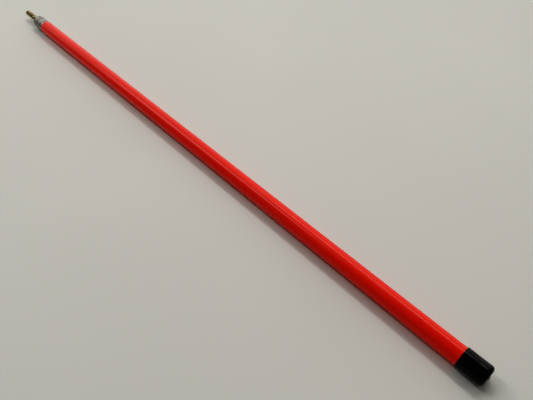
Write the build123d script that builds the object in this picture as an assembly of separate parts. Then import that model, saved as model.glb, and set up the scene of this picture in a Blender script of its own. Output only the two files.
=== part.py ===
"""Flexible marker stick: a bright plastic tube over a wire-rope core, with a bolt-on stud.

The stick lies along +X with +Z up, in millimetres. The origin is on the stick's axis, at the
collar's front face, which is the face that seats on a bracket. The stud points along -X from
there, and the tube runs along +X to its vinyl end cap.
"""

import os
from math import hypot, pi, sin, sqrt

from build123d import *

# Tube: extruded high-visibility plastic.
TUBE_OD = 22.2
TUBE_WALL = 1.6
TUBE_LENGTH = 914.4
TUBE_EDGE_BREAK = 1.0

# Collar: galvanised steel plug that joins the stud, the rope and the tube.
COLLAR_STEP = 0.7
COLLAR_EXPOSED = 33.0
COLLAR_NOSE_RADIUS = 2.4
COLLAR_GROOVE_START = 12.0
COLLAR_GROOVE_WIDTH = 4.2
COLLAR_GROOVE_DEPTH = 0.55
SPIGOT_LENGTH = 30.0
SPIGOT_LEAD = 1.5
COLLAR_WEB = 7.0

# Stud: 3/8-16 rolled thread on a plain shank, which is pressed into the collar.
STUD_THREAD_D = 9.525
STUD_THREAD_LENGTH = 44.45
STUD_TIP_CHAMFER = 1.3
STUD_SHANK_D = 8.5
STUD_SHANK_LENGTH = 20.0
STUD_SHANK_CHAMFER = 0.6

# Rope core: six strands laid round a slightly larger centre strand.
STRAND_COUNT = 6
STRAND_D = 3.0
STRAND_GAP = 0.06
STRAND_LAY_LENGTH = 66.0
ROPE_TOP_SETBACK = 32.0

# Sleeve and spacer at the rope's top end.
SLEEVE_WALL = 1.5
SLEEVE_LENGTH = 24.0
SLEEVE_EDGE_BREAK = 0.6
SPACER_LENGTH = 16.0
SPACER_EDGE_BREAK = 0.8

# End cap: dip-moulded vinyl, pushed over the tube's top end.
CAP_LENGTH = 30.3
CAP_WALL = 0.9
CAP_END_THICKNESS = 1.6
CAP_SHOULDER_RADIUS = 4.0
CAP_INNER_RADIUS = 1.2
CAP_LIP_RADIUS = 0.3
CAP_NUB_D = 5.6
CAP_NUB_HEIGHT = 0.9

# Clearances, each on the radius or along the axis. The relief is round the thread, in the seat.
BONDED_GAP = 0.03
ROPE_GAP = 0.05
CAP_GAP = 0.10
SEAT_RELIEF = 0.3

# Fits and places that follow from the sizes above.
TUBE_ID = TUBE_OD - 2 * TUBE_WALL
COLLAR_OD = TUBE_OD - 2 * COLLAR_STEP
SPIGOT_OD = TUBE_ID - 2 * BONDED_GAP
TUBE_START = COLLAR_EXPOSED
TUBE_END = TUBE_START + TUBE_LENGTH
COLLAR_END = TUBE_START + SPIGOT_LENGTH
ROPE_START = STUD_SHANK_LENGTH + COLLAR_WEB
ROPE_END = TUBE_END - ROPE_TOP_SETBACK
CAP_INNER_END = TUBE_END + CAP_GAP
CAP_OUTER_END = CAP_INNER_END + CAP_END_THICKNESS
CAP_LIP = CAP_OUTER_END - CAP_LENGTH
CAP_ID = TUBE_OD + 2 * CAP_GAP
CAP_OD = CAP_ID + 2 * CAP_WALL


def lay_radius():
    """Radius of the outer strands' helix: neighbours side by side leave STRAND_GAP.

    A strand cut square to the rope is longer round the rope than its own width, by the
    slant of its helix, so the radius solves a quadratic in the chord between two strands.
    """
    turn = 2 * pi / STRAND_LAY_LENGTH
    chord = 2 * sin(pi / STRAND_COUNT)
    a = chord**2 - (STRAND_D * turn) ** 2
    b = -2 * chord * STRAND_GAP
    c = STRAND_GAP**2 - STRAND_D**2
    return (-b + sqrt(b * b - 4 * a * c)) / (2 * a)


LAY_RADIUS = lay_radius()
CENTRE_STRAND_D = 2 * (LAY_RADIUS - STRAND_GAP) - STRAND_D
ROPE_D = 2 * LAY_RADIUS + STRAND_D
SOCKET_D = ROPE_D + 2 * ROPE_GAP
SLEEVE_ID = ROPE_D + 2 * ROPE_GAP
SLEEVE_OD = SLEEVE_ID + 2 * SLEEVE_WALL
SLEEVE_START = ROPE_END - SLEEVE_LENGTH
SPACER_ID = SLEEVE_OD + 2 * BONDED_GAP
SPACER_OD = TUBE_ID - 2 * BONDED_GAP
SPACER_START = SLEEVE_START + (SLEEVE_LENGTH - SPACER_LENGTH) / 2


def turned(profile):
    """Full turn of a closed half profile, drawn in the XY plane, about the stick's axis."""
    return revolve(profile, axis=Axis.X, revolution_arc=360)


def outline(*points):
    """Closed half profile through points given as (x, radius)."""
    return make_face(Polyline(*points, close=True))


def rounded(profile, places, radius):
    """Half profile with the corners at the given (x, radius) places rounded."""
    corners = [
        v for v in profile.vertices()
        if any(hypot(v.X - x, v.Y - r) < 1e-4 for x, r in places)
    ]
    return fillet(corners, radius)


def ring(start, end, inner_d, outer_d, edge_break):
    """Plain ring along the axis with both outer edges broken at 45 degrees."""
    inner = inner_d / 2
    outer = outer_d / 2
    return turned(outline(
        (start, inner),
        (end, inner),
        (end, outer - edge_break),
        (end - edge_break, outer),
        (start + edge_break, outer),
        (start, outer - edge_break),
    ))


def guide_tube():
    """Tube with its outer edges broken, so that the cap can be started over its end."""
    return ring(TUBE_START, TUBE_END, TUBE_ID, TUBE_OD, TUBE_EDGE_BREAK)


def end_collar():
    """Collar: rounded nose, shallow crimp groove, tube shoulder and spigot, bored both ends.

    The front bore's mouth is countersunk past the thread's width, so that the seat lies flat.
    """
    outer = COLLAR_OD / 2
    spigot = SPIGOT_OD / 2
    shank_bore = STUD_SHANK_D / 2 + BONDED_GAP
    mouth = STUD_THREAD_D / 2 + SEAT_RELIEF
    socket = SOCKET_D / 2
    floor = outer - COLLAR_GROOVE_DEPTH
    slope = COLLAR_GROOVE_DEPTH
    groove_end = COLLAR_GROOVE_START + COLLAR_GROOVE_WIDTH
    nose = (0, outer)
    profile = outline(
        (mouth - shank_bore, shank_bore),
        (0, mouth),
        nose,
        (COLLAR_GROOVE_START, outer),
        (COLLAR_GROOVE_START + slope, floor),
        (groove_end - slope, floor),
        (groove_end, outer),
        (TUBE_START, outer),
        (TUBE_START, spigot),
        (COLLAR_END - SPIGOT_LEAD, spigot),
        (COLLAR_END, spigot - SPIGOT_LEAD / 2),
        (COLLAR_END, socket),
        (ROPE_START, socket),
        (ROPE_START, 0),
        (STUD_SHANK_LENGTH, 0),
        (STUD_SHANK_LENGTH, shank_bore),
    )
    return turned(rounded(profile, [nose], COLLAR_NOSE_RADIUS))


def threaded_stud():
    """Stud: the thread is a plain cylinder at its major diameter, with a chamfered tip."""
    thread = STUD_THREAD_D / 2
    shank = STUD_SHANK_D / 2
    tip = -STUD_THREAD_LENGTH
    return turned(outline(
        (tip, 0),
        (tip, thread - STUD_TIP_CHAMFER),
        (tip + STUD_TIP_CHAMFER, thread),
        (0, thread),
        (0, shank),
        (STUD_SHANK_LENGTH - STUD_SHANK_CHAMFER, shank),
        (STUD_SHANK_LENGTH, shank - STUD_SHANK_CHAMFER),
        (STUD_SHANK_LENGTH, 0),
    ))


def centre_strand():
    """Straight strand on the axis, from the socket's floor to the rope's top."""
    radius = CENTRE_STRAND_D / 2
    return turned(outline((ROPE_START, 0), (ROPE_START, radius), (ROPE_END, radius), (ROPE_END, 0)))


def outer_strand(index):
    """One right-hand helical strand of the rope, set round the axis by its index."""
    slant = hypot(STRAND_LAY_LENGTH, 2 * pi * LAY_RADIUS)
    inset = STRAND_D / 2 * (2 * pi * LAY_RADIUS / slant)
    start = ROPE_START + inset
    path = Helix(
        pitch=STRAND_LAY_LENGTH,
        height=ROPE_END - inset - start,
        radius=LAY_RADIUS,
        center=(start, 0, 0),
        direction=(1, 0, 0),
    )
    section = Plane(origin=path @ 0, z_dir=path % 0) * Circle(STRAND_D / 2)
    strand = sweep(section, path=path, is_frenet=True)
    return Rot(X=index * 360 / STRAND_COUNT) * strand


def rope_sleeve():
    """Sleeve pressed round the rope's top end to stop it fraying."""
    return ring(SLEEVE_START, ROPE_END, SLEEVE_ID, SLEEVE_OD, SLEEVE_EDGE_BREAK)


def rope_spacer():
    """Plastic bush that centres the rope's sleeve in the tube."""
    return ring(
        SPACER_START, SPACER_START + SPACER_LENGTH, SPACER_ID, SPACER_OD, SPACER_EDGE_BREAK
    )


def end_cap():
    """Cap: thin wall, rounded shoulder and lip, and the small nub that dipping leaves."""
    inner = CAP_ID / 2
    outer = CAP_OD / 2
    shoulder = (CAP_OUTER_END, outer)
    lip = (CAP_LIP, outer)
    corner = (CAP_INNER_END, inner)
    profile = outline(
        (CAP_LIP, inner),
        lip,
        shoulder,
        (CAP_OUTER_END, 0),
        (CAP_INNER_END, 0),
        corner,
    )
    profile = rounded(profile, [corner], CAP_INNER_RADIUS)
    profile = rounded(profile, [shoulder], CAP_SHOULDER_RADIUS)
    profile = rounded(profile, [lip], CAP_LIP_RADIUS)
    nub_tip = (CAP_OUTER_END + CAP_NUB_HEIGHT, 0)
    nub_edge = (CAP_OUTER_END, CAP_NUB_D / 2)
    nub_foot = (CAP_OUTER_END, 0)
    dome = TangentArc(nub_tip, nub_edge, tangent=(0, 1))
    nub = make_face([dome, Line(nub_edge, nub_foot), Line(nub_foot, nub_tip)])
    return turned(profile) + turned(nub)


def pieces():
    """Every piece of the stick, by node name."""
    made = {
        "guide_tube": guide_tube(),
        "end_collar": end_collar(),
        "threaded_stud": threaded_stud(),
        "rope_centre_strand": centre_strand(),
        "rope_sleeve": rope_sleeve(),
        "rope_spacer": rope_spacer(),
        "end_cap": end_cap(),
    }
    for index in range(STRAND_COUNT):
        made[f"rope_strand_{index + 1}"] = outer_strand(index)
    return made


os.makedirs("parts", exist_ok=True)
for name, solid in pieces().items():
    export_step(solid, f"parts/{name}.step")
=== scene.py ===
"""A flexible marker stick: red-orange tube, wire-rope core, vinyl cap, galvanised collar and stud.

The stick lies along X on a pale floor, with its stud towards -X. Lengths are in metres.
"""

import math

import bpy
import numpy as np
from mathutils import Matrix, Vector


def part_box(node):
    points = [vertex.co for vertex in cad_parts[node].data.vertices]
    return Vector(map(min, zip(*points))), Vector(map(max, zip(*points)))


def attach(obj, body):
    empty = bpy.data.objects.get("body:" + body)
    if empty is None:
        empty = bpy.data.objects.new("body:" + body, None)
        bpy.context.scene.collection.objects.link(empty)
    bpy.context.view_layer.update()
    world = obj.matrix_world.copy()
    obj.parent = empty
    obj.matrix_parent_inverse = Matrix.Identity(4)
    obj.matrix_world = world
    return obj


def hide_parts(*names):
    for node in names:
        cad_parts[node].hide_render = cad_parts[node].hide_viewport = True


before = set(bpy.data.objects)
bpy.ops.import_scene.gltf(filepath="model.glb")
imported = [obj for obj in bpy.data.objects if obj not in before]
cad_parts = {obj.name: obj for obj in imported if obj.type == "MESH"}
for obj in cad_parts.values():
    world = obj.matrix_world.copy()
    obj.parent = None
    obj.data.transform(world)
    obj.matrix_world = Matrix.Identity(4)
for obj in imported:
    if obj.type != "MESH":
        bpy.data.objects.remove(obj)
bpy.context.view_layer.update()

# ---------------------------------------------------------------------------------------------
# Guide tube. The real piece is a length of thick-walled polyethylene tube with a fluorescent
# red-orange pigment right through it. It is extruded, so fine die lines run along it and its
# wall is very slightly uneven, then it is sawn to length and its edges are deburred.

MM = 0.001
SURFACE_BAND = 0.01 * MM
BONDED_PLAY = 0.03 * MM

TUBE_AROUND = 96
TUBE_RINGS = 231
TUBE_BORE_RINGS = 41
TUBE_BORE_MARGIN = 4.0 * MM
TUBE_EDGE = 1.0 * MM
TUBE_BORE_EDGE = 0.5 * MM
TUBE_RIPPLE = 0.025 * MM
HAUL_WAVE = 7.5 * MM
HAUL_DRIFT = 34.0 * MM
OVAL_TWIST = 60.0 * MM
TUBE_SWELL = 55.0 * MM


def span(node):
    """Start and end of a CAD node along X, and the greatest radius it reaches, in metres."""
    low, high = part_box(node)
    return low[0], high[0], max(high[1], high[2])


def angles(around):
    """Evenly spaced angles round the axis, from +Y towards +Z, without the last one repeated."""
    return np.linspace(0, 2 * np.pi, around, endpoint=False)


def straight(start, end, steps):
    """Points (x, radius) evenly along a straight line of a profile, both ends kept."""
    t = np.linspace(0, 1, steps)[:, None]
    return np.array(start) * (1 - t) + np.array(end) * t


def rounding(centre, radius, start, end, steps=6):
    """Points (x, radius) along a circular arc of a profile: centre plus radius times the
    cosine and sine of an angle that goes from start to end, in degrees."""
    a = np.radians(np.linspace(start, end, steps))
    return np.stack([centre[0] + radius * np.cos(a), centre[1] + radius * np.sin(a)], -1)


def lumps(x, theta, size, radius, seed, waves=14):
    """Smooth unevenness from 0 to 1 on a round piece: a sum of plane waves over the unrolled
    surface, each with a whole number of turns round the piece, so that it has no seam."""
    rng = np.random.default_rng(seed)
    turns = np.round(rng.normal(0, 2 * np.pi * radius / size / 2, waves))
    along = rng.normal(0, np.pi / size, waves)
    phase = rng.uniform(0, 2 * np.pi, waves)
    total = np.zeros(np.broadcast(x, theta).shape)
    for k in range(waves):
        total = total + np.sin(turns[k] * theta + along[k] * x + phase[k])
    return 0.5 + 0.5 * np.tanh(total / math.sqrt(waves))


def revolved(profile, around, sunk):
    """Points of a turned surface, one ring for each profile point: x stays, and the radius is
    carried round the axis. sunk(x, theta, radius) gives how far each point lies inwards."""
    theta = angles(around)[None, :]
    x = np.repeat(profile[:, :1], around, axis=1)
    radius = np.repeat(profile[:, 1:], around, axis=1)
    radius = radius - sunk(x, theta, radius)
    return np.stack([x, radius * np.cos(theta), radius * np.sin(theta)], -1)


def six_volumes(points, faces):
    """Six times the volume between the faces and the origin: for each face, its first corner
    dotted with the cross products of its other corners, taken in order."""
    corner = points[faces]
    crossed = np.cross(corner[:, 1], corner[:, 2]) + np.cross(corner[:, 2], corner[:, -1])
    return np.einsum("ij,ij->", corner[:, 0], crossed)


def skin(name, rings, ends):
    """Closed mesh over a grid of points, rings[i, j] being place j round ring i.

    Four neighbours make a face, and the last place round a ring meets the first. ends is
    "poles" where a fan to one middle point closes each end ring, or "loop" where the last
    ring meets the first. The faces are turned over if they enclose a negative volume.
    """
    count, around = rings.shape[:2]
    points = rings.reshape(-1, 3)
    i = np.arange(count if ends == "loop" else count - 1)[:, None]
    j = np.arange(around)
    ahead = (i + 1) % count
    after = (j + 1) % around
    corners = [i * around + j, i * around + after, ahead * around + after, ahead * around + j]
    groups = [np.stack(corners, -1).reshape(-1, 4)]
    if ends == "poles":
        pole = np.full(around, len(points))
        last = (count - 1) * around
        points = np.vstack([points, rings[0].mean(0), rings[-1].mean(0)])
        groups.append(np.stack([pole, after, j], -1))
        groups.append(np.stack([pole + 1, last + j, last + after], -1))
    order = 1 if sum(six_volumes(points, group) for group in groups) > 0 else -1
    faces = [face for group in groups for face in group[:, ::order].tolist()]
    mesh = bpy.data.meshes.new(name)
    mesh.from_pydata(points.tolist(), [], faces)
    mesh.shade_smooth()
    piece = bpy.data.objects.new(name, mesh)
    bpy.context.scene.collection.objects.link(piece)
    return piece


def linear(code):
    """A colour such as "#8a8f8c", in sRGB, as linear red, green, blue and alpha."""
    values = np.array([int(code[k:k + 2], 16) / 255 for k in (1, 3, 5)])
    low = values / 12.92
    high = ((values + 0.055) / 1.055) ** 2.4
    return (*np.where(values <= 0.04045, low, high).tolist(), 1.0)


def every(spacing):
    """The texture scale that shows a feature about once in each spacing, in metres."""
    return 1 / spacing


def add(tree, kind, links=None, **settings):
    """Adds a shader node. settings are its properties, or its inputs by name with spaces as
    underscores. links feeds an input, by name or number, from another node's output."""
    node = tree.nodes.new(kind)
    for key, value in settings.items():
        if hasattr(node, key):
            setattr(node, key, value)
        else:
            node.inputs[key.replace("_", " ")].default_value = value
    for key, source in (links or {}).items():
        tree.links.new(source, node.inputs[key])
    return node


def new_material(name):
    """An empty node material, with the Principled shader that everything in it feeds."""
    material = bpy.data.materials.new(name)
    material.use_nodes = True
    tree = material.node_tree
    return material, tree, tree.nodes["Principled BSDF"]


def dress(piece, material):
    """Gives the whole piece one material."""
    piece.data.materials.clear()
    piece.data.materials.append(material)


tube_start, tube_end, tube_outer = span("guide_tube")
tube_inner = span("rope_spacer")[2] + BONDED_PLAY
tube_profile = np.vstack([
    straight((tube_start + TUBE_EDGE, tube_outer), (tube_end - TUBE_EDGE, tube_outer), TUBE_RINGS),
    rounding((tube_end - TUBE_EDGE, tube_outer - TUBE_EDGE), TUBE_EDGE, 75, 0, 5),
    rounding((tube_end - TUBE_BORE_EDGE, tube_inner + TUBE_BORE_EDGE), TUBE_BORE_EDGE, 0, -90, 4),
    straight((tube_end - TUBE_BORE_MARGIN, tube_inner),
             (tube_start + TUBE_BORE_MARGIN, tube_inner), TUBE_BORE_RINGS),
    rounding((tube_start + TUBE_BORE_EDGE, tube_inner + TUBE_BORE_EDGE),
             TUBE_BORE_EDGE, 270, 180, 4),
    rounding((tube_start + TUBE_EDGE, tube_outer - TUBE_EDGE), TUBE_EDGE, 180, 105, 5),
])


def drawn(x, theta, radius):
    """Unevenness left by the haul-off, only on the outer wall: slow waves along the tube whose
    spacing drifts, a slight three-sided ovality that twists, and a broad random swell."""
    along = 0.5 + 0.5 * np.sin(x / HAUL_WAVE + 1.4 * np.sin(x / HAUL_DRIFT))
    oval = 0.5 + 0.5 * np.cos(3 * theta + x / OVAL_TWIST)
    swell = lumps(x, theta, TUBE_SWELL, tube_outer, seed=3)
    outside = radius > tube_outer - SURFACE_BAND
    return outside * TUBE_RIPPLE * (0.3 * along + 0.4 * oval + 0.5 * swell)


tube = skin("guide_tube_extrusion", revolved(tube_profile, TUBE_AROUND, drawn), "loop")

# Extruded fluorescent polyethylene: half gloss, a little waxy, with a colour so strong that its
# shaded side stays deep red. The pigment gives back some of the light it takes in as red, which
# the small emission stands for: a painted red glow, as strong in shade as in light, which also
# keeps the shaded side bright. Real die lines and grain are finer, and are coarse here to show.
plastic, tree, shader = new_material("extruded_fluorescent_polyethylene")
place = add(tree, "ShaderNodeTexCoord").outputs["Object"]
lengthwise = add(tree, "ShaderNodeMapping", {"Vector": place},
                 Scale=(every(620 * MM), every(1.6 * MM), every(1.6 * MM)))
die_lines = add(tree, "ShaderNodeTexNoise", {"Vector": lengthwise.outputs[0]},
                Scale=1.0, Detail=3.0, Roughness=0.55)
streaks = add(tree, "ShaderNodeMapping", {"Vector": place},
              Scale=(every(167 * MM), every(8.3 * MM), every(8.3 * MM)))
pigment = add(tree, "ShaderNodeTexNoise", {"Vector": streaks.outputs[0]}, Scale=1.0, Detail=4.0)
tone = add(tree, "ShaderNodeValToRGB", {"Fac": pigment.outputs["Fac"]})
tone.color_ramp.elements[0].position = 0.30
tone.color_ramp.elements[0].color = linear("#dc2003")
tone.color_ramp.elements[1].position = 0.72
tone.color_ramp.elements[1].color = linear("#e82605")
scratch_place = add(tree, "ShaderNodeMapping", {"Vector": place}, Rotation=(0.0, 0.5, 0.35),
                    Scale=(every(17 * MM), every(1.1 * MM), every(1.1 * MM)))
scratches = add(tree, "ShaderNodeTexNoise", {"Vector": scratch_place.outputs[0]},
                Scale=1.0, Detail=1.0, Roughness=0.4)
scuffed = add(tree, "ShaderNodeMapRange", {"Value": scratches.outputs["Fac"]},
              From_Min=0.70, From_Max=0.80, To_Min=0.0, To_Max=0.30)
chalky = add(tree, "ShaderNodeMix", {"Factor": scuffed.outputs[0], 6: tone.outputs["Color"]},
             data_type="RGBA")
chalky.inputs[7].default_value = linear("#f0533c")
handling = add(tree, "ShaderNodeTexNoise", {"Vector": place}, Scale=every(18 * MM), Detail=5.0)
half_gloss = add(tree, "ShaderNodeMapRange", {"Value": handling.outputs["Fac"]},
                 From_Min=0.3, From_Max=0.7, To_Min=0.20, To_Max=0.27)
lines_bump = add(tree, "ShaderNodeBump", {"Height": die_lines.outputs["Fac"]},
                 Strength=0.22, Distance=0.04 * MM)
melt_grain = add(tree, "ShaderNodeTexNoise", {"Vector": place}, Scale=every(1.1 * MM), Detail=2.0)
plastic_bump = add(tree, "ShaderNodeBump",
                   {"Height": melt_grain.outputs["Fac"], "Normal": lines_bump.outputs[0]},
                   Strength=0.12, Distance=0.04 * MM)
tree.links.new(chalky.outputs[2], shader.inputs["Base Color"])
tree.links.new(half_gloss.outputs[0], shader.inputs["Roughness"])
tree.links.new(plastic_bump.outputs[0], shader.inputs["Normal"])
shader.inputs["IOR"].default_value = 1.50
shader.inputs["Specular IOR Level"].default_value = 0.19
# Painted glow: a faint, even red emission, the same on the lit side and the shaded side.
shader.inputs["Emission Color"].default_value = linear("#ff1500")
shader.inputs["Emission Strength"].default_value = 0.05
dress(tube, plastic)
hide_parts("guide_tube")
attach(tube, "stick")

# ---------------------------------------------------------------------------------------------
# End cap. The real piece is a thin cap of black vinyl plastisol, dip-moulded on a steel pin and
# pushed over the tube's end. Dipping leaves a soft shoulder, a faint waviness, a rounded lip
# where it is trimmed, and a small nub where the last drop ran off.

AXIS_RING = 0.3 * MM
WALL_MARGIN = 1.0 * MM

CAP_AROUND = 96
CAP_WALL = 0.9 * MM
CAP_END_WALL = 1.6 * MM
CAP_SHOULDER = 4.0 * MM
CAP_INNER_CORNER = 1.2 * MM
CAP_SKIRT_MARGIN = 2.0 * MM
CAP_LIP_EDGE = 0.3 * MM
CAP_LIP_INNER_EDGE = 0.2 * MM
CAP_NUB_HEIGHT = 0.9 * MM
CAP_NUB_REACH = 3.4 * MM
CAP_WAVE = 0.07 * MM
CAP_LUMP = 11.0 * MM
CAP_WAVE_BAND = 0.05 * MM

cap_lip, cap_tip, cap_outer = span("end_cap")
cap_face = cap_tip - CAP_NUB_HEIGHT
cap_inner = cap_outer - CAP_WALL
cap_floor = cap_face - CAP_END_WALL

# The nub is a cosine dome, drawn in a little at its foot. Its first ring is close to the axis.
nub_out = np.linspace(0.06, 1, 14) * CAP_NUB_REACH
nub_rise = CAP_NUB_HEIGHT * (0.5 + 0.5 * np.cos(np.pi * nub_out / CAP_NUB_REACH)) ** 0.8
cap_profile = np.vstack([
    np.stack([cap_face + nub_rise, nub_out], -1),
    straight((cap_face, 1.15 * CAP_NUB_REACH), (cap_face, cap_outer - CAP_SHOULDER), 8),
    rounding((cap_face - CAP_SHOULDER, cap_outer - CAP_SHOULDER), CAP_SHOULDER, 8, 90, 11),
    straight((cap_face - CAP_SHOULDER - WALL_MARGIN, cap_outer),
             (cap_lip + WALL_MARGIN, cap_outer), 33),
    rounding((cap_lip + CAP_LIP_EDGE, cap_outer - CAP_LIP_EDGE), CAP_LIP_EDGE, 90, 180),
    rounding((cap_lip + CAP_LIP_INNER_EDGE, cap_inner + CAP_LIP_INNER_EDGE),
             CAP_LIP_INNER_EDGE, 180, 270, 4),
    straight((cap_lip + CAP_SKIRT_MARGIN, cap_inner),
             (cap_floor - CAP_SKIRT_MARGIN, cap_inner), 13),
    rounding((cap_floor - CAP_INNER_CORNER, cap_inner - CAP_INNER_CORNER),
             CAP_INNER_CORNER, 90, 0),
    straight((cap_floor, cap_inner - CAP_SKIRT_MARGIN), (cap_floor, AXIS_RING), 5),
])


def dipped(x, theta, radius):
    """Waviness of the outer wall, where the vinyl ran a little thinner: a squared sine that is
    deepest half way between the lip and the shoulder, and random lumps that fade at both."""
    wall = np.clip((radius - (cap_outer - CAP_WAVE_BAND)) / CAP_WAVE_BAND, 0, 1)
    way = np.clip((x - cap_lip) / (cap_face - CAP_SHOULDER - cap_lip), 0, 1)
    thin = np.sin(np.pi * way) ** 2
    uneven = 0.8 * lumps(x, theta, CAP_LUMP, cap_outer, seed=8) * thin ** 0.3
    return wall * CAP_WAVE * (thin + uneven)


cap = skin("end_cap_dipped_vinyl", revolved(cap_profile, CAP_AROUND, dipped), "poles")

# Dip-moulded vinyl plastisol: near black and glossy, with a slightly soft highlight, because
# the surface has an orange peel, coarser here than the real one so that it shows. Handling
# leaves faint duller patches and a few pale specks.
vinyl, tree, shader = new_material("dip_moulded_vinyl_plastisol")
place = add(tree, "ShaderNodeTexCoord").outputs["Object"]
peel = add(tree, "ShaderNodeTexNoise", {"Vector": place}, Scale=every(2.4 * MM), Detail=2.0)
flow = add(tree, "ShaderNodeTexNoise", {"Vector": place}, Scale=every(11 * MM), Detail=2.0)
flow_bump = add(tree, "ShaderNodeBump", {"Height": flow.outputs["Fac"]},
                Strength=0.25, Distance=0.2 * MM)
vinyl_bump = add(tree, "ShaderNodeBump",
                 {"Height": peel.outputs["Fac"], "Normal": flow_bump.outputs[0]},
                 Strength=0.30, Distance=0.06 * MM)
smears = add(tree, "ShaderNodeTexNoise", {"Vector": place}, Scale=every(7.7 * MM), Detail=6.0)
gloss = add(tree, "ShaderNodeMapRange", {"Value": smears.outputs["Fac"]},
            From_Min=0.35, From_Max=0.70, To_Min=0.06, To_Max=0.10)
dust_cells = add(tree, "ShaderNodeTexVoronoi", {"Vector": place}, Scale=every(2.3 * MM))
dust = add(tree, "ShaderNodeMapRange", {"Value": dust_cells.outputs["Distance"]},
           From_Min=0.03, From_Max=0.09, To_Min=0.12, To_Max=0.0)
black = add(tree, "ShaderNodeMix", {"Factor": dust.outputs[0]}, data_type="RGBA")
black.inputs[6].default_value = linear("#070707")
black.inputs[7].default_value = linear("#6a6862")
tree.links.new(black.outputs[2], shader.inputs["Base Color"])
tree.links.new(gloss.outputs[0], shader.inputs["Roughness"])
tree.links.new(vinyl_bump.outputs[0], shader.inputs["Normal"])
shader.inputs["IOR"].default_value = 1.52
shader.inputs["Specular IOR Level"].default_value = 0.12
dress(cap, vinyl)
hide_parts("end_cap")
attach(cap, "cap")

# ---------------------------------------------------------------------------------------------
# End collar. The real piece is a short steel plug, turned with a rounded nose and hot-dip
# galvanised. The tube is bonded over its spigot and butts against its shoulder. A ring of jaw
# marks bites into it where it was pressed on to the stud's shank.

COLLAR_AROUND = 96
COLLAR_RINGS = 70
COLLAR_MARGIN = 0.5 * MM
NOSE_RADIUS = 2.4 * MM
NOSE_MARGIN = 0.6 * MM
SHOULDER_EDGE = 0.2 * MM
SPIGOT_LENGTH = 30.0 * MM
SPIGOT_LEAD = 1.5 * MM
ROPE_PLAY = 0.05 * MM
SHANK_LENGTH = 20.0 * MM
SHANK_RADIUS = 4.25 * MM
MOUTH_RADIUS = 5.06 * MM
MOUTH_EDGE = 0.1 * MM
GROOVE_START = 12.0 * MM
GROOVE_WIDTH = 4.2 * MM
GROOVE_FLOOR = 0.18
GROOVE_SOFTNESS = 0.16
JAWS = 8
JAW_DEPTH = 0.60 * MM
BETWEEN_JAWS = 0.45
ZINC_DEPTH = 0.06 * MM
ZINC_LUMP = 4.2 * MM
ZINC_GRAIN = 1.6 * MM

collar_back, collar_outer = span("end_collar")[1:]
spigot_outer = span("rope_spacer")[2]
socket_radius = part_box("rope_strand_1")[1][1] + ROPE_PLAY
socket_floor = span("rope_centre_strand")[0]
bore_radius = SHANK_RADIUS + BONDED_PLAY
shoulder_x = collar_back - SPIGOT_LENGTH
collar_profile = np.vstack([
    straight((SHANK_LENGTH, AXIS_RING), (SHANK_LENGTH, bore_radius), 3),
    straight((SHANK_LENGTH - WALL_MARGIN, bore_radius),
             (MOUTH_RADIUS - bore_radius, bore_radius), 8),
    straight((MOUTH_EDGE, MOUTH_RADIUS - MOUTH_EDGE), (0, MOUTH_RADIUS + MOUTH_EDGE), 3),
    straight((0, MOUTH_RADIUS + COLLAR_MARGIN), (0, collar_outer - NOSE_RADIUS), 4),
    rounding((NOSE_RADIUS, collar_outer - NOSE_RADIUS), NOSE_RADIUS, 172, 90, 12),
    straight((NOSE_RADIUS + NOSE_MARGIN, collar_outer),
             (shoulder_x - COLLAR_MARGIN, collar_outer), COLLAR_RINGS),
    rounding((shoulder_x - SHOULDER_EDGE, collar_outer - SHOULDER_EDGE), SHOULDER_EDGE, 90, 0, 4),
    straight((shoulder_x, spigot_outer + SHOULDER_EDGE), (shoulder_x, spigot_outer), 2),
    straight((shoulder_x + COLLAR_MARGIN, spigot_outer),
             (collar_back - SPIGOT_LEAD, spigot_outer), 24),
    straight((collar_back, spigot_outer - SPIGOT_LEAD / 2), (collar_back, socket_radius), 4),
    straight((collar_back - COLLAR_MARGIN, socket_radius), (socket_floor, socket_radius), 12),
    straight((socket_floor, socket_radius - COLLAR_MARGIN), (socket_floor, AXIS_RING), 3),
])


def pressed(x, theta, radius):
    """Jaw marks and zinc: inside the groove's width the surface sinks with a soft step, by
    less between two jaws, and the whole outside has the lumpy skin of hot-dip zinc."""
    into = (x - GROOVE_START) / GROOVE_WIDTH
    past_floor = np.clip(np.abs(into - 0.5) - GROOVE_FLOOR, 0, None)
    band = np.exp(-((past_floor / GROOVE_SOFTNESS) ** 2))
    jaw = BETWEEN_JAWS + (1 - BETWEEN_JAWS) * np.abs(np.cos(JAWS * theta / 2)) ** 0.6
    zinc = 0.6 * lumps(x, theta, ZINC_LUMP, collar_outer, seed=21, waves=24)
    zinc = zinc + 0.4 * lumps(x, theta, ZINC_GRAIN, collar_outer, seed=22, waves=40)
    outside = radius > spigot_outer + COLLAR_MARGIN
    return outside * (JAW_DEPTH * band * jaw + ZINC_DEPTH * zinc)


collar = skin("end_collar_galvanised", revolved(collar_profile, COLLAR_AROUND, pressed), "poles")

# Weathered hot-dip galvanised steel: the zinc has gone from bright to a dull grey, mottled in
# crystals a few millimetres across, and is darker and duller where dirt has stained it.
galvanised, tree, shader = new_material("weathered_hot_dip_galvanised_steel")
place = add(tree, "ShaderNodeTexCoord").outputs["Object"]
crystals = add(tree, "ShaderNodeTexVoronoi", {"Vector": place},
               Scale=every(3.0 * MM), Randomness=1.0)
grime = add(tree, "ShaderNodeTexNoise", {"Vector": place},
            Scale=every(4.8 * MM), Detail=6.0, Roughness=0.65)
mottle = add(tree, "ShaderNodeValToRGB", {"Fac": crystals.outputs["Color"]})
mottle.color_ramp.elements[0].color = linear("#8d8b88")
mottle.color_ramp.elements[1].color = linear("#b8b5b1")
stain = add(tree, "ShaderNodeValToRGB", {"Fac": grime.outputs["Fac"]})
stain.color_ramp.elements[0].position = 0.38
stain.color_ramp.elements[0].color = linear("#8f8d89")
stain.color_ramp.elements[1].position = 0.62
stain.color_ramp.elements[1].color = linear("#ffffff")
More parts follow.
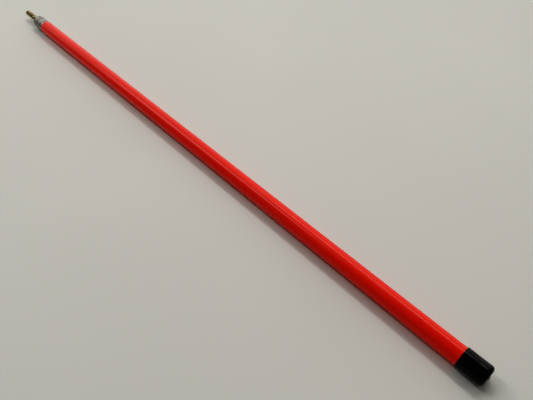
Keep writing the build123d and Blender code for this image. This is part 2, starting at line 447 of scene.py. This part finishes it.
zinc_colour = add(tree, "ShaderNodeMix",
                  {6: mottle.outputs["Color"], 7: stain.outputs["Color"]},
                  data_type="RGBA", blend_type="MULTIPLY")
zinc_colour.inputs[0].default_value = 0.85
dullness = add(tree, "ShaderNodeMapRange", {"Value": grime.outputs["Fac"]},
               From_Min=0.35, From_Max=0.65, To_Min=0.55, To_Max=0.36)
zinc_bump = add(tree, "ShaderNodeBump", {"Height": grime.outputs["Fac"]},
                Strength=0.30, Distance=0.12 * MM)
tree.links.new(zinc_colour.outputs[2], shader.inputs["Base Color"])
tree.links.new(dullness.outputs[0], shader.inputs["Roughness"])
tree.links.new(zinc_bump.outputs[0], shader.inputs["Normal"])
shader.inputs["Metallic"].default_value = 0.75
dress(collar, galvanised)
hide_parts("end_collar")
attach(collar, "stick")

# ---------------------------------------------------------------------------------------------
# Threaded stud. The real piece is a steel stud with a rolled 3/8-16 thread, zinc plated and
# passivated yellow. Its plain shank is pressed into the collar. Rolling leaves a narrow flat
# crest and a softened root, and the thread fades out at the collar's face.

INCH = 25.4 * MM
THREAD_PITCH = INCH / 16
THREAD_DEPTH = 0.97 * MM
THREAD_STEPS = 14
CREST_SHARE = 0.14
ROOT_SHARE = 0.12
FLANK_ROUNDING = 0.3
TIP_CHAMFER = 1.3 * MM
TIP_GAP = 0.02 * MM
RUN_OUT = 1.6 * MM
RUN_OUT_GAP = 0.05 * MM
SHANK_START = 0.2 * MM
SHANK_CHAMFER = 0.6 * MM
STUD_AROUND = 60

stud_tip, stud_back, thread_outer = span("threaded_stud")
thread_x = np.arange(stud_tip + TIP_GAP, -RUN_OUT_GAP, THREAD_PITCH / THREAD_STEPS)
stud_profile = np.vstack([
    straight((stud_tip, AXIS_RING), (stud_tip, thread_outer - TIP_CHAMFER), 4),
    np.stack([thread_x, np.full_like(thread_x, thread_outer)], -1),
    straight((SHANK_START, SHANK_RADIUS), (stud_back - SHANK_CHAMFER, SHANK_RADIUS), 12),
    straight((stud_back, SHANK_RADIUS - SHANK_CHAMFER), (stud_back, AXIS_RING), 4),
])


def rolled(x, theta, radius):
    """Right-hand 60 degree thread: depth goes from a flat crest to a flat root and back once
    each pitch, by a flank that is part straight and part smooth step. The run-out fades it to
    the shank's radius, and the tip's chamfer cuts it back."""
    turn = np.mod(x / THREAD_PITCH - theta / (2 * np.pi), 1.0)
    slope = np.abs(2 * turn - 1)
    flank = np.clip((slope - CREST_SHARE) / (1 - CREST_SHARE - ROOT_SHARE), 0, 1)
    curved = flank * flank * (3 - 2 * flank)
    sink = THREAD_DEPTH * (FLANK_ROUNDING * curved + (1 - FLANK_ROUNDING) * flank)
    fade = np.clip(-x / RUN_OUT, 0, 1)
    sink = sink * fade + (thread_outer - SHANK_RADIUS) * (1 - fade)
    chamfer = TIP_CHAMFER - (x - stud_tip)
    threaded = (radius > thread_outer - SURFACE_BAND) & (x < 0)
    return threaded * np.maximum(sink, np.maximum(chamfer, 0))


stud = skin("threaded_stud_rolled", revolved(stud_profile, STUD_AROUND, rolled), "poles")

# Yellow-passivated zinc plate on rolled steel: a pale gold metal, with faint pink and green
# where the passivation is thicker or thinner. The thread roots are darkened by painted shade. The
# plate's own grain is coarser here than the real one, so that it shows.
yellow_zinc, tree, shader = new_material("yellow_passivated_zinc_plate")
place = add(tree, "ShaderNodeTexCoord").outputs["Object"]
film = add(tree, "ShaderNodeTexNoise", {"Vector": place}, Scale=every(6.2 * MM), Detail=3.0)
tints = add(tree, "ShaderNodeValToRGB", {"Fac": film.outputs["Fac"]})
tints.color_ramp.elements[0].position = 0.30
tints.color_ramp.elements[0].color = linear("#c6be8c")
tints.color_ramp.elements[1].position = 0.70
tints.color_ramp.elements[1].color = linear("#b4b480")
rosy = tints.color_ramp.elements.new(0.52)
rosy.color = linear("#c2b286")
across_axis = add(tree, "ShaderNodeMapping", {"Vector": place}, Scale=(0, 1, 1))
axis_distance = add(tree, "ShaderNodeVectorMath", {0: across_axis.outputs[0]}, operation="LENGTH")
# Painted shade in the thread roots: the nearer the root floor, the more the colour turns to the
# dark brown below.
root_shade_amount = add(tree, "ShaderNodeMapRange", {"Value": axis_distance.outputs["Value"]},
              From_Min=thread_outer - THREAD_DEPTH, From_Max=thread_outer - 0.35 * THREAD_DEPTH,
              To_Min=0.55, To_Max=0.0)
painted_root_shade = add(tree, "ShaderNodeMix", {"Factor": root_shade_amount.outputs[0], 6: tints.outputs["Color"]},
            data_type="RGBA")
painted_root_shade.inputs[7].default_value = linear("#2e2818")
plate_grain = add(tree, "ShaderNodeTexNoise", {"Vector": place}, Scale=every(1.1 * MM), Detail=2.0)
plate_bump = add(tree, "ShaderNodeBump", {"Height": plate_grain.outputs["Fac"]},
                 Strength=0.15, Distance=0.03 * MM)
tree.links.new(painted_root_shade.outputs[2], shader.inputs["Base Color"])
tree.links.new(plate_bump.outputs[0], shader.inputs["Normal"])
shader.inputs["Metallic"].default_value = 1.0
shader.inputs["Roughness"].default_value = 0.20
dress(stud, yellow_zinc)
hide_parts("threaded_stud")
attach(stud, "stick")

# ---------------------------------------------------------------------------------------------
# Wire-rope core. The real rope has a straight strand with six more laid round it, right-handed,
# and each strand is itself six wires laid left-handed over a seventh. It is what lets the stick
# bend and spring back, and its lower end is gripped in the collar's socket.

STRANDS = 6
ROPE_LAY = 66.0 * MM
STRAND_RADIUS = 1.5 * MM
STRAND_AROUND = 24
STRAND_RING_STEP = 1.3 * MM
WIRES = 6
WIRE_LAY = 21.0 * MM


def wires_outline(around, turn, radius):
    """Distance from a strand's axis to its outline: six round wires, each a third of the
    strand's radius, touching in a ring that has turned by the given angle."""
    wire = radius / 3
    place_round = angles(around)[None, :] - turn[:, None]
    sector = 2 * np.pi / WIRES
    off = np.mod(place_round + sector / 2, sector) - sector / 2
    inside = np.clip(wire**2 - (2 * wire * np.sin(off)) ** 2, 0, None)
    return 2 * wire * np.cos(off) + np.sqrt(inside)


def strand_rings(start, end, helix_radius, phase, radius):
    """Rings along a strand whose axis is a right-hand helix about X, or X itself where the
    helix radius is 0. Each ring lies square to the strand, and its outline turns left-handed."""
    count = int((end - start) / STRAND_RING_STEP)
    x = np.linspace(start, end, count)
    turn = 2 * np.pi * (x - start) / ROPE_LAY + phase
    outward = np.stack([np.zeros(count), np.cos(turn), np.sin(turn)], -1)
    round_axis = np.stack([np.zeros(count), -np.sin(turn), np.cos(turn)], -1)
    slant = math.atan2(2 * np.pi * helix_radius, ROPE_LAY)
    forward = math.cos(slant) * np.array([1.0, 0, 0]) + math.sin(slant) * round_axis
    side = np.cross(forward, outward)
    centre = helix_radius * outward
    centre[:, 0] = x
    reach = wires_outline(STRAND_AROUND, -2 * np.pi * x / WIRE_LAY, radius)
    theta = angles(STRAND_AROUND)[None, :, None]
    around = np.cos(theta) * outward[:, None] + np.sin(theta) * side[:, None]
    return centre[:, None] + reach[:, :, None] * around


# Drawn, zinc-coated rope wire: a light grey metal, darker and duller in patches where the lay's
# grease has gathered between the wires.
wire_steel, tree, shader = new_material("drawn_zinc_coated_rope_wire")
place = add(tree, "ShaderNodeTexCoord").outputs["Object"]
grease = add(tree, "ShaderNodeTexNoise", {"Vector": place}, Scale=every(3.1 * MM), Detail=4.0)
wire_tone = add(tree, "ShaderNodeValToRGB", {"Fac": grease.outputs["Fac"]})
wire_tone.color_ramp.elements[0].position = 0.35
wire_tone.color_ramp.elements[0].color = linear("#6d6a62")
wire_tone.color_ramp.elements[1].position = 0.65
wire_tone.color_ramp.elements[1].color = linear("#b9bab8")
wire_shine = add(tree, "ShaderNodeMapRange", {"Value": grease.outputs["Fac"]},
                 From_Min=0.3, From_Max=0.7, To_Min=0.50, To_Max=0.30)
tree.links.new(wire_tone.outputs["Color"], shader.inputs["Base Color"])
tree.links.new(wire_shine.outputs[0], shader.inputs["Roughness"])
shader.inputs["Metallic"].default_value = 1.0

rope_start, rope_end, centre_radius = span("rope_centre_strand")
lay_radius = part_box("rope_strand_1")[1][1] - STRAND_RADIUS
ends_inset = STRAND_RADIUS * math.sin(math.atan2(2 * math.pi * lay_radius, ROPE_LAY))
for number in range(STRANDS + 1):
    if number == 0:
        node = "rope_centre_strand"
        rings = strand_rings(rope_start, rope_end, 0.0, 0.0, centre_radius)
    else:
        node = f"rope_strand_{number}"
        phase = (number - 1) * 2 * math.pi / STRANDS
        rings = strand_rings(rope_start + ends_inset, rope_end - ends_inset, lay_radius,
                             phase, STRAND_RADIUS)
    strand = skin(f"{node}_wires", rings, "poles")
    dress(strand, wire_steel)
    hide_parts(node)
    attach(strand, "stick")

# ---------------------------------------------------------------------------------------------
# Rope sleeve. The real piece is a short aluminium sleeve, pressed round the rope's top end in
# a six-sided die so that the strands can't open. Its two ends keep their round shape.

SLEEVE_AROUND = 72
SLEEVE_WALL = 1.5 * MM
SLEEVE_EDGE = 0.5 * MM
SLEEVE_BORE_CHAMFER = 0.3 * MM
SLEEVE_SIDES = 6
PRESS_DEPTH = 0.35 * MM
PRESS_START = 3.0 * MM
PRESS_FADE = 1.0 * MM

sleeve_start, sleeve_end, sleeve_outer = span("rope_sleeve")
sleeve_inner = sleeve_outer - SLEEVE_WALL
sleeve_profile = np.vstack([
    rounding((sleeve_start + SLEEVE_EDGE, sleeve_outer - SLEEVE_EDGE), SLEEVE_EDGE, 180, 90),
    straight((sleeve_start + WALL_MARGIN, sleeve_outer),
             (sleeve_end - WALL_MARGIN, sleeve_outer), 45),
    rounding((sleeve_end - SLEEVE_EDGE, sleeve_outer - SLEEVE_EDGE), SLEEVE_EDGE, 90, 0),
    straight((sleeve_end, sleeve_inner + SLEEVE_BORE_CHAMFER),
             (sleeve_end - SLEEVE_BORE_CHAMFER, sleeve_inner), 3),
    straight((sleeve_end - WALL_MARGIN, sleeve_inner),
             (sleeve_start + WALL_MARGIN, sleeve_inner), 9),
    straight((sleeve_start + SLEEVE_BORE_CHAMFER, sleeve_inner),
             (sleeve_start, sleeve_inner + SLEEVE_BORE_CHAMFER), 3),
])


def hexed(x, theta, radius):
    """Flats left by the die: the outside sinks most in the middle of each side, and not at all
    at the corners or near either end. The depth is a cosine of the turn, to the power 1.5."""
    from_end = np.minimum(x - sleeve_start, sleeve_end - x)
    inner_way = np.clip((from_end - PRESS_START) / PRESS_FADE, 0, 1)
    flat = 0.5 + 0.5 * np.cos(SLEEVE_SIDES * theta)
    outside = radius > sleeve_outer - SURFACE_BAND
    return outside * PRESS_DEPTH * inner_way * flat ** 1.5


sleeve = skin("rope_sleeve_pressed", revolved(sleeve_profile, SLEEVE_AROUND, hexed), "loop")

# Die-pressed aluminium: bright but not polished, with short die scores along it, coarser here
# than the real ones so that they show.
aluminium, tree, shader = new_material("die_pressed_aluminium")
place = add(tree, "ShaderNodeTexCoord").outputs["Object"]
score_place = add(tree, "ShaderNodeMapping", {"Vector": place},
                  Scale=(every(6.7 * MM), every(0.7 * MM), every(0.7 * MM)))
scores = add(tree, "ShaderNodeTexNoise", {"Vector": score_place.outputs[0]}, Scale=1.0, Detail=3.0)
aluminium_tone = add(tree, "ShaderNodeValToRGB", {"Fac": scores.outputs["Fac"]})
aluminium_tone.color_ramp.elements[0].color = linear("#b5b6b6")
aluminium_tone.color_ramp.elements[1].color = linear("#dcdcda")
score_bump = add(tree, "ShaderNodeBump", {"Height": scores.outputs["Fac"]},
                 Strength=0.4, Distance=0.04 * MM)
tree.links.new(aluminium_tone.outputs["Color"], shader.inputs["Base Color"])
tree.links.new(score_bump.outputs[0], shader.inputs["Normal"])
shader.inputs["Metallic"].default_value = 1.0
shader.inputs["Roughness"].default_value = 0.38
dress(sleeve, aluminium)
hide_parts("rope_sleeve")
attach(sleeve, "stick")

# ---------------------------------------------------------------------------------------------
# Rope spacer. The real piece is a natural polypropylene bush, injection moulded. It centres the
# sleeve in the tube, and shallow flutes on its outside let air past as it is pushed home.

SPACER_AROUND = 128
SPACER_EDGE = 0.6 * MM
SPACER_BORE_CHAMFER = 0.4 * MM
FLUTES = 8
FLUTE_DEPTH = 0.9 * MM
FLUTE_EDGE = 0.375

spacer_start, spacer_end, spacer_outer = span("rope_spacer")
spacer_inner = sleeve_outer + BONDED_PLAY
spacer_profile = np.vstack([
    rounding((spacer_start + SPACER_EDGE, spacer_outer - SPACER_EDGE), SPACER_EDGE, 180, 90, 7),
    straight((spacer_start + WALL_MARGIN, spacer_outer),
             (spacer_end - WALL_MARGIN, spacer_outer), 17),
    rounding((spacer_end - SPACER_EDGE, spacer_outer - SPACER_EDGE), SPACER_EDGE, 90, 0, 7),
    straight((spacer_end, spacer_inner + SPACER_BORE_CHAMFER),
             (spacer_end - SPACER_BORE_CHAMFER, spacer_inner), 3),
    straight((spacer_end - WALL_MARGIN, spacer_inner),
             (spacer_start + WALL_MARGIN, spacer_inner), 7),
    straight((spacer_start + SPACER_BORE_CHAMFER, spacer_inner),
             (spacer_start, spacer_inner + SPACER_BORE_CHAMFER), 3),
])


def fluted(x, theta, radius):
    """Rounded grooves along the outside: the square root of how far a cosine round the piece
    stands above FLUTE_EDGE, so that each takes a little over a third of its share."""
    across = np.clip((np.cos(FLUTES * theta) - FLUTE_EDGE) / (1 - FLUTE_EDGE), 0, 1)
    outside = radius > (spacer_inner + spacer_outer) / 2
    return outside * FLUTE_DEPTH * np.sqrt(across)


spacer = skin("rope_spacer_moulded", revolved(spacer_profile, SPACER_AROUND, fluted), "loop")

# Moulded natural polypropylene: milky and cloudy, with the matt texture of a spark-eroded mould,
# coarser here than the real one so that it shows.
natural, tree, shader = new_material("moulded_natural_polypropylene")
place = add(tree, "ShaderNodeTexCoord").outputs["Object"]
mould_grain = add(tree, "ShaderNodeTexNoise", {"Vector": place}, Scale=every(0.7 * MM), Detail=2.0)
milky = add(tree, "ShaderNodeTexNoise", {"Vector": place}, Scale=every(5.6 * MM), Detail=3.0)
milk_tone = add(tree, "ShaderNodeValToRGB", {"Fac": milky.outputs["Fac"]})
milk_tone.color_ramp.elements[0].color = linear("#cfcbbd")
milk_tone.color_ramp.elements[1].color = linear("#e2dfd3")
mould_bump = add(tree, "ShaderNodeBump", {"Height": mould_grain.outputs["Fac"]},
                 Strength=0.3, Distance=0.04 * MM)
tree.links.new(milk_tone.outputs["Color"], shader.inputs["Base Color"])
tree.links.new(mould_bump.outputs[0], shader.inputs["Normal"])
shader.inputs["Roughness"].default_value = 0.48
shader.inputs["IOR"].default_value = 1.49
dress(spacer, natural)
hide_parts("rope_spacer")
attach(spacer, "stick")

# ---------------------------------------------------------------------------------------------
# Floor. A plain pale board that the stick lies on. It leans by the small angle that lets it
# touch both the wider cap and the tube's far end, and it is not part of the object.

FLOOR_HALF = 12.0

lean = (cap_outer - tube_outer) / (cap_face - tube_start)
floor_corners = [
    (x, y, -tube_outer - lean * (x - tube_start))
    for x, y in ((-FLOOR_HALF, -FLOOR_HALF), (FLOOR_HALF, -FLOOR_HALF),
                 (FLOOR_HALF, FLOOR_HALF), (-FLOOR_HALF, FLOOR_HALF))
]
floor_mesh = bpy.data.meshes.new("floor")
floor_mesh.from_pydata(floor_corners, [], [(0, 1, 2, 3)])
floor = bpy.data.objects.new("floor", floor_mesh)
bpy.context.scene.collection.objects.link(floor)

# Matt painted board: even, warm grey, with a very faint cloudiness.
board, tree, shader = new_material("matt_painted_board")
place = add(tree, "ShaderNodeTexCoord").outputs["Object"]
cloud = add(tree, "ShaderNodeTexNoise", {"Vector": place}, Scale=every(333 * MM), Detail=2.0)
board_tone = add(tree, "ShaderNodeValToRGB", {"Fac": cloud.outputs["Fac"]})
board_tone.color_ramp.elements[0].color = linear("#cfcfcb")
board_tone.color_ramp.elements[1].color = linear("#d6d6d2")
tree.links.new(board_tone.outputs["Color"], shader.inputs["Base Color"])
shader.inputs["Roughness"].default_value = 0.62
dress(floor, board)

# ---------------------------------------------------------------------------------------------
# Light. Two long soft lamps hang high, one behind the stick and one beyond its stud, and a
# small one beyond the cap. The room is dim except on its window side, beyond the stud, which
# draws the broad highlight along the stick's upper side.

WINDOW_SIDE = (-0.80, 0.55, 0.25)


def soft_lamp(name, place, size, watts, colour, aim):
    """A rectangular area lamp at place, its long side along X, facing the point aim."""
    data = bpy.data.lights.new(name, "AREA")
    data.shape = "RECTANGLE"
    data.size, data.size_y = size
    data.energy = watts
    data.color = linear(colour)[:3]
    lamp = bpy.data.objects.new(name, data)
    bpy.context.scene.collection.objects.link(lamp)
    away = np.array(place) - np.array(aim)
    away = away / np.linalg.norm(away)
    across = np.cross(away, (1.0, 0.0, 0.0))
    across = across / np.linalg.norm(across)
    turn = np.eye(4)
    turn[:3, 0] = np.cross(across, away)
    turn[:3, 1] = across
    turn[:3, 2] = away
    turn[:3, 3] = place
    lamp.matrix_world = turn.T.tolist()


soft_lamp("lamp_behind", place=(0.20, 0.95, 1.65), size=(1.3, 0.28), watts=6.4,
          colour="#fffdf9", aim=(0.5, 0, 0))
soft_lamp("lamp_far", place=(-0.90, -0.50, 1.90), size=(1.4, 0.26), watts=8.6,
          colour="#fffdf9", aim=(0.4, 0, 0))
soft_lamp("lamp_near", place=(1.9, 0.85, 1.6), size=(0.20, 0.20), watts=1.8,
          colour="#fffaf4", aim=(0.9, 0, 0))

world = bpy.data.worlds.new("room_with_one_window")
bpy.context.scene.world = world
world.use_nodes = True
sky = world.node_tree
backdrop = sky.nodes["Background"]
looking = add(sky, "ShaderNodeTexCoord").outputs["Generated"]
towards_window = add(sky, "ShaderNodeVectorMath", {0: looking}, operation="DOT_PRODUCT")
towards_window.inputs[1].default_value = WINDOW_SIDE
room = add(sky, "ShaderNodeValToRGB", {"Fac": towards_window.outputs["Value"]})
room.color_ramp.elements[0].position = 0.44
room.color_ramp.elements[0].color = linear("#3c3c3a")
room.color_ramp.elements[1].position = 0.58
room.color_ramp.elements[1].color = linear("#e2e0dc")
sky.links.new(room.outputs["Color"], backdrop.inputs["Color"])
backdrop.inputs["Strength"].default_value = 1.24

# ---------------------------------------------------------------------------------------------
# Camera. It stands beside the capped end, about half a metre above the floor, and looks down
# along the stick towards the stud. The high-contrast look keeps shaded sides and blacks deep.

CAMERA_PLACE = (0.9577, -0.3002, 0.4789)
CAMERA_TURN = math.radians(137.2)
CAMERA_DROP = math.radians(47.1)
CAMERA_LENS = 34.6

camera_data = bpy.data.cameras.new("camera")
camera_data.lens = CAMERA_LENS
camera_data.sensor_width = 36.0
camera_data.clip_start = 0.01
camera_data.clip_end = 50.0
camera = bpy.data.objects.new("camera", camera_data)
camera.location = CAMERA_PLACE
camera.rotation_euler = (math.pi / 2 - CAMERA_DROP, 0.0, CAMERA_TURN - math.pi / 2)
bpy.context.scene.collection.objects.link(camera)
bpy.context.scene.camera = camera
bpy.context.scene.view_settings.view_transform = "Standard"
bpy.context.scene.view_settings.look = "High Contrast"
